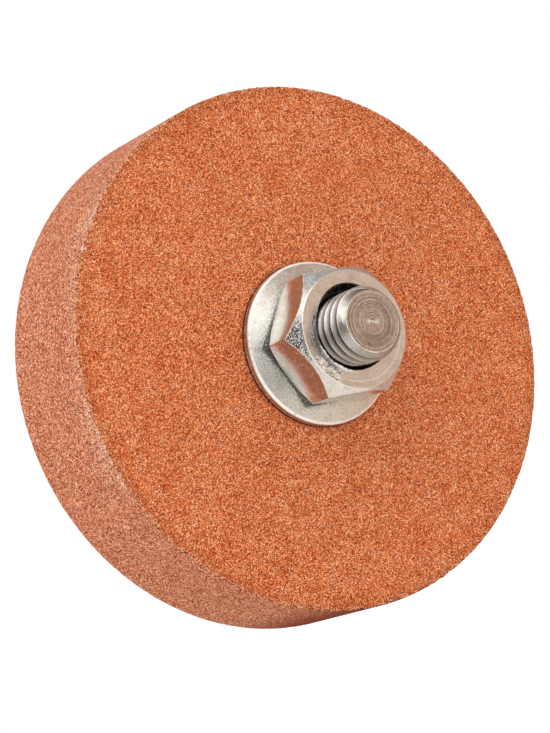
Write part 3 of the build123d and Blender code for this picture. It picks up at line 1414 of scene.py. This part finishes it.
@dataclass
class Arbor:
    """The turned arbor: threaded end, seat, collar and shank in one piece."""

    pitch: float = 1.25 * MM
    crest: float = 3.9 * MM
    thread_depth: float = 0.68 * MM
    groove_flanks: Range = (0.15, 0.82)
    crest_phase: float = 8.1 * MM
    crest_angle: float = math.radians(143.5)
    thread_start: float = 4.6 * MM
    tip_face: float = 3.2 * MM
    tip_chamfer: float = 0.6 * MM
    undercut: float = 3.2 * MM
    undercut_slope: Range = (1.5 * MM, 0.8 * MM)
    seat: float = 5.0 * MM
    seat_setback: float = 0.8 * MM
    seat_edge: float = 0.3 * MM
    collar_thickness: float = 3.5 * MM
    collar_edge: float = 0.5 * MM
    shank: float = 4.0 * MM
    shank_chamfer: float = 0.8 * MM
    around: int = 192

    tool_pitch: float = 0.21 * MM
    tool_depth: float = 0.010 * MM
    tool_swells: Pair = (0.37 * MM, 0.23 * MM)
    tool_deeper: float = 1.2 * MM
    pip: float = 0.14 * MM
    pip_height: float = 0.04 * MM
    tip_rim: float = 0.08 * MM

    # Where highlights are painted on the tip, its chamfer and the end face's centre.
    near_arc: Arc = (88, 116, 262, 300)
    far_share: float = 0.12
    patch_arc: Arc = (110, 117, 140, 146)
    patch_band: Range = (-0.75 * MM, -0.60 * MM)
    patch_share: float = 0.40
    streak_angle: float = math.radians(-36.5)
    streak_share: float = 0.8
    streak_reach: float = 0.8 * MM
    centre_reach: float = 0.13 * MM
    dull_arc: Arc = (180, 215, 290, 335)
    dull_share: float = 0.46

    def __post_init__(self) -> None:
        """Reads the arbor's outer sizes from the frame."""
        low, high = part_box("arbor")
        wheel_low, wheel_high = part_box("grinding_wheel")
        self.front_y = float(wheel_low[1])
        self.collar = float(high[0])
        self.tip = self.front_y - float(low[1])
        self.end = self.front_y - float(high[1])
        self.back = float(wheel_low[1] - wheel_high[1])

    def body(self) -> bpy.types.Object:
        """Turns the plain arbor, with close rings where the thread is cut.

        Returns:
            The plain arbor.
        """
        collar_back = self.back - self.collar_thickness
        edge = self.collar_edge
        slope_start, slope_end = self.undercut_slope
        # Where bright is set, a highlight is painted along the bend.
        corners = [
            Corner(0, self.tip, run=110),
            Corner(self.tip_face, self.tip, cut=0.06 * MM, run=14, bright=1.0),
            Corner(self.crest, self.tip - self.tip_chamfer, cut=0.05 * MM, run=120, bright=0.6),
            Corner(self.crest, self.thread_start, run=4),
            Corner(self.crest, -self.seat_setback + slope_start),
            Corner(self.undercut, -self.seat_setback + slope_end),
            Corner(self.undercut, -self.seat_setback),
            Corner(self.seat - self.seat_edge, -self.seat_setback),
            Corner(self.seat, -self.seat_setback - self.seat_edge, run=4),
            Corner(self.seat, self.back),
            Corner(self.collar - edge, self.back),
            Corner(self.collar, self.back - edge, cut=0.08 * MM, run=3),
            Corner(self.collar, collar_back + edge, cut=0.08 * MM),
            Corner(self.collar - edge, collar_back, cut=0.08 * MM, run=6),
            Corner(self.shank, collar_back, cut=0.4 * MM, steps=6, run=24),
            Corner(self.shank, self.end + self.shank_chamfer, cut=0.08 * MM, run=2),
            Corner(self.shank - self.shank_chamfer, self.end, cut=0.08 * MM, run=24),
            Corner(0, self.end),
        ]
        skin = Section(corners, even_angles(self.around), closed=False).skin()
        self.face_off(skin)
        skin.marks.update(worn=self.bright_marks(skin), dull=self.dull(skin))
        return skin.mesh("threaded_arbor", self.front_y)

    def face_off(self, skin: Skin) -> None:
        """Cuts the tool's rings into the end face, with the small pip left at its centre.

        Args:
            skin: The arbor's skin, which is changed in place.
        """
        radius = skin.radius
        on_face = (skin.ahead > self.tip - 0.01 * MM) & (radius < self.tip_face - self.tip_rim)
        first, second = (radius / length for length in self.tool_swells)
        swell = 0.6 + 0.4 * np.sin(first) * np.sin(second + 1)
        wave = 1 + np.cos(radius / self.tool_pitch * FULL_TURN)
        groove = self.tool_depth * swell * wave / 2
        groove *= 1 + bell(radius, 0, self.tool_deeper)
        pip = self.pip_height * bell(radius, 0, self.pip)
        skin.ahead -= np.where(on_face, groove + self.pip_height - pip, 0)

    def bright_marks(self, skin: Skin) -> np.ndarray:
        """Paints highlights on the tip's edges, most on the near side, on a patch of its chamfer
        and at the face's centre.

        Args:
            skin: The arbor's skin.
        Returns:
            The mark, for every ring and angle.
        """
        radius, ahead = skin.radius, skin.ahead
        near = self.far_share + (1 - self.far_share) * skin.arc(self.near_arc)
        kept = skin.worn * np.where(ahead > self.tip - 0.3 * MM, near, 1.0)
        band = fade(ahead, *moved(self.patch_band, self.tip)) * (radius > self.tip_face)
        kept = np.maximum(kept, self.patch_share * skin.arc(self.patch_arc) * band)
        streak = np.cos(np.broadcast_to(skin.angles, radius.shape) - self.streak_angle) ** 6
        # Painted highlight at the end face's centre: a streak and a spot.
        centre_highlight = self.streak_share * streak * bell(radius, 0, self.streak_reach)
        centre_highlight = centre_highlight + bell(radius, 0, self.centre_reach)
        return np.maximum(kept, np.clip(centre_highlight, 0, 1) * (ahead > 0))

    def dull(self, skin: Skin) -> np.ndarray:
        """Finds the duller side of the thread and of the tip's chamfer."""
        threaded = fade(skin.ahead, 0, 1 * MM) * (skin.radius > self.tip_face + 0.03 * MM)
        return self.dull_share * skin.arc(self.dull_arc) * threaded

    def cut_thread(self, piece: bpy.types.Object, material: bpy.types.Material) -> None:
        """Cuts the right-hand thread into the plain end.

        Args:
            piece: The piece, whose mesh is changed.
            material: The piece's finish.
        """
        grower = GrowTree("helical_thread")
        plan = grower.plan
        pitch = grower.size("Pitch", self.pitch)
        depth = grower.size("Depth", self.thread_depth)
        crest = grower.size("Crest radius", self.crest)
        place = plan.add("GeometryNodeInputPosition").outputs[0]
        radius, angle, y = plan.around_axis(place)
        ahead = plan.minus(self.front_y, y)
        climb = plan.math("DIVIDE", plan.minus(ahead, self.crest_phase), pitch)
        turned = plan.math("DIVIDE", plan.minus(angle, self.crest_angle), FULL_TURN)
        phase = plan.math("FRACT", plan.plus(plan.minus(climb, turned), 0.5))
        from_crest = plan.apart(plan.times(phase, 2), 1)
        groove = plan.remap(from_crest, *self.groove_flanks, kind="LINEAR")
        run_out = plan.remap(ahead, self.thread_start, self.thread_start + self.pitch)
        cut = plan.times(groove, depth, run_out)
        least = plan.math("MINIMUM", radius, plan.minus(crest, cut))
        threaded = plan.remap(ahead, self.thread_start - 0.01 * MM, self.thread_start,
                              kind="LINEAR")
        fresh = plan.add("ShaderNodeMix", {0: threaded, 2: radius, 3: least},
                         data_type="FLOAT").outputs[0]
        share = plan.math("DIVIDE", fresh, plan.most(radius, 0.001 * MM))
        x, _, z = plan.add("ShaderNodeSeparateXYZ", {0: place}).outputs
        fed = {0: plan.times(x, share), 1: y, 2: plan.times(z, share)}
        moved_to = plan.add("ShaderNodeCombineXYZ", fed).outputs[0]
        valley = plan.math("DIVIDE", plan.minus(radius, fresh), depth)
        fed = {"Geometry": grower.start.outputs[0], "Name": "valley", "Value": valley}
        marked = plan.add("GeometryNodeStoreNamedAttribute", fed,
                          data_type="FLOAT", domain="POINT").outputs[0]
        fed = {"Geometry": marked, "Position": moved_to}
        grower.finish("GeometryNodeSetPosition", fed, material)
        grower.grow(piece)

    def build(self) -> None:
        """Makes the arbor and keeps it in the frame's place."""
        piece = self.body()
        finish = TurnedSteel(front_y=self.front_y, tip_y=self.front_y - self.tip, crest=self.crest)
        self.cut_thread(piece, finish.material())
        keep(piece, Slot.TURNED, "arbor")


@dataclass(frozen=True)
class ProductCamera:
    """The photograph's camera, worked out from the wheel's outlines."""

    place: tuple[float, float, float] = (-162.951 * MM, -270.844 * MM, 51.719 * MM)
    look: tuple[float, float, float] = (0.52023, 0.83756, -0.16690)
    roll: float = math.radians(37.06)
    lens: float = 143.78
    sensor: float = 36.0
    clip_start: float = 10 * MM

    def build(self) -> bpy.types.Object:
        """Adds the camera and makes it the scene's own.

        Returns:
            The camera.
        """
        data = bpy.data.cameras.new("product_camera")
        data.lens = self.lens
        data.sensor_width = self.sensor
        data.clip_start = self.clip_start
        camera = bpy.data.objects.new("product_camera", data)
        level = Vector(self.look).to_track_quat("-Z", "Y").to_matrix().to_4x4()
        roll = Matrix.Rotation(-self.roll, 4, "Z")
        camera.matrix_world = Matrix.Translation(self.place) @ level @ roll
        bpy.context.collection.objects.link(camera)
        bpy.context.scene.camera = camera
        return camera


@dataclass(frozen=True)
class Lamp:
    """A soft lamp, with its power in watts and its way from the part as the camera sees it."""

    name: str
    power: float
    way: tuple[float, float, float]
    size: float = 0.35
    distance: float = 0.55
    aim: tuple[float, float, float] = (0, -10 * MM, 0)

    def hang(self, view: Matrix) -> None:
        """Hangs the lamp.

        Args:
            view: The camera's place and turn.
        """
        data = bpy.data.lights.new(self.name, "AREA")
        data.shape = "DISK"
        data.size = self.size
        data.energy = self.power
        lamp = bpy.data.objects.new(self.name, data)
        lamp.visible_glossy = False
        away = (view.to_3x3() @ Vector(self.way)).normalized()
        turn = away.to_track_quat("Z", "Y").to_matrix().to_4x4()
        lamp.matrix_world = Matrix.Translation(Vector(self.aim) + away * self.distance) @ turn
        bpy.context.collection.objects.link(lamp)


@dataclass(frozen=True)
class Glow:
    """A soft patch of the surroundings, as bright metal reflects it from the camera's side."""

    right: float
    up: float
    towards: float
    colour: Colour
    strength: float = 1.0
    focus: float = 12.0


@dataclass(frozen=True)
class Studio:
    """A white product studio: a floor, two soft lamps and even light all round."""

    floor_z: float = -150 * MM
    floor_reach: float = 0.45
    floor_matte: tuple[float, float, float, float] = (0.64, 0.62, 0.60, 1.0)
    floor_seen: float = 0.45
    even_light: float = 1.03
    white: tuple[float, float, float, float] = (1, 1, 1, 1)
    lamps: tuple[Lamp, ...] = (
        Lamp("key_lamp", 0.56, (-0.30, 0.64, 0.70)),
        Lamp("fill_lamp", 0.36, (-0.35, -0.52, 0.78)),
    )
    glows: tuple[Glow, ...] = (
        Glow(-0.38, 0.76, 0.52, (255, 253, 249), 1.65, 16),
        Glow(0.14, 0.60, 0.79, (255, 252, 246), 1.28, 16),
        Glow(-0.62, 0.08, 0.78, (30, 31, 34), 0.3, 16),
        Glow(-0.24, 0.16, 0.95, (110, 104, 98), 1.1, 22),
        Glow(0.36, -0.06, 0.93, (168, 167, 160), 1.0, 16),
        Glow(-0.22, -0.56, 0.80, (214, 212, 206), 1.2),
        Glow(0.62, -0.48, 0.62, (212, 205, 192), 1.2),
        Glow(0.90, -0.36, 0.24, (204, 186, 168), 1.2),
        Glow(0.24, -0.95, 0.20, (228, 218, 208), 1.2),
        Glow(0.94, 0.0, -0.30, (196, 152, 122), 1.2),
        Glow(0.86, 0.36, 0.37, (200, 173, 151), 1.15),
        Glow(0.76, 0.50, -0.42, (186, 160, 140), 1.15),
        Glow(0.42, 0.86, 0.16, (178, 158, 142), 1.1, 22),
        Glow(-0.14, 0.96, -0.22, (178, 179, 180), 1.1),
        Glow(-0.90, 0.20, -0.30, (210, 208, 204), 1.1, 5),
    )

    def floor(self) -> None:
        """Lays the floor, which looks white and still takes a soft shadow."""
        mesh = bpy.data.meshes.new("studio_floor")
        signs = ((-1, -1), (1, -1), (1, 1), (-1, 1))
        corners = [(x * self.floor_reach, y * self.floor_reach, self.floor_z) for x, y in signs]
        mesh.from_pydata(corners, [], [(0, 1, 2, 3)])
        material = bpy.data.materials.new("studio_floor")
        material.use_nodes = True
        material.node_tree.nodes.clear()
        plan = NodePlan(material.node_tree)
        rays = plan.add("ShaderNodeLightPath").outputs
        matte = plan.add("ShaderNodeBsdfDiffuse", {"Color": self.floor_matte}).outputs[0]
        seen = plan.times(rays["Is Camera Ray"], self.floor_seen)
        lift = plan.add("ShaderNodeEmission", {"Strength": seen}).outputs[0]
        solid = plan.add("ShaderNodeAddShader", {0: matte, 1: lift}).outputs[0]
        clear = plan.add("ShaderNodeBsdfTransparent").outputs[0]
        mirrored = plan.most(rays["Is Glossy Ray"], rays["Is Transmission Ray"])
        both = plan.add("ShaderNodeMixShader", {0: mirrored, 1: solid, 2: clear}).outputs[0]
        plan.add("ShaderNodeOutputMaterial", {"Surface": both})
        mesh.materials.append(material)
        floor = bpy.data.objects.new("studio_floor", mesh)
        bpy.context.collection.objects.link(floor)

    def reflected(self, plan: NodePlan, view: Matrix) -> Socket:
        """Blends the glows, each around its own way, into what the metal reflects.

        Args:
            plan: The nodes that it adds to.
            view: The camera's place and turn.
        Returns:
            The reflected colour.
        """
        heading = plan.add("ShaderNodeTexCoord").outputs["Generated"]
        total: Fed = 0.0
        blend: Fed = (0.0, 0.0, 0.0)
        for glow in self.glows:
            way = (view.to_3x3() @ Vector((glow.right, glow.up, glow.towards))).normalized()
            facing = plan.add("ShaderNodeVectorMath", {0: heading, 1: way}, operation="DOT_PRODUCT")
            fall = plan.times(plan.minus(facing.outputs["Value"], 1), glow.focus)
            share = plan.math("EXPONENT", fall)
            shown = [channel * glow.strength for channel in tint(glow.colour)[:3]]
            fed = {0: blend, 1: plan.scale(shown, share)}
            blend = plan.add("ShaderNodeVectorMath", fed, operation="ADD").outputs[0]
            total = plan.plus(total, share)
        return plan.scale(blend, plan.math("DIVIDE", 1.0, total))

    def surroundings(self, view: Matrix) -> None:
        """Lights the part evenly and gives its metal something to reflect.

        Args:
            view: The camera's place and turn.
        """
        world = bpy.data.worlds.new("studio")
        world.use_nodes = True
        world.node_tree.nodes.clear()
        plan = NodePlan(world.node_tree)
        rays = plan.add("ShaderNodeLightPath").outputs
        mirrored = self.reflected(plan, view)
        lights = ((self.white, self.even_light), (mirrored, 1.0), (self.white, 1.0))
        plain, glossy, white = (
            plan.add("ShaderNodeBackground", {"Color": colour, "Strength": strength}).outputs[0]
            for colour, strength in lights)
        for ray, shown in (("Is Glossy Ray", glossy), ("Is Camera Ray", white)):
            plain = plan.add("ShaderNodeMixShader", {0: rays[ray], 1: plain, 2: shown}).outputs[0]
        plan.add("ShaderNodeOutputWorld", {"Surface": plain})
        bpy.context.scene.world = world

    def build(self, camera: bpy.types.Object) -> None:
        """Sets up the floor, the lamps and the surroundings as the camera sees them.

        Args:
            camera: The camera.
        """
        self.floor()
        for lamp in self.lamps:
            lamp.hang(camera.matrix_world)
        self.surroundings(camera.matrix_world)
        bpy.context.scene.view_settings.view_transform = "Standard"


def main() -> None:
    """Builds the part's pieces and the studio around them."""
    logging.basicConfig(level=logging.INFO, format="%(message)s")
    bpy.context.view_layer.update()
    camera = ProductCamera().build()
    Studio().build(camera)
    for part in (GrindingWheel(), FlangeNut(), Arbor()):
        part.build()


if __name__ == "__main__":
    main()
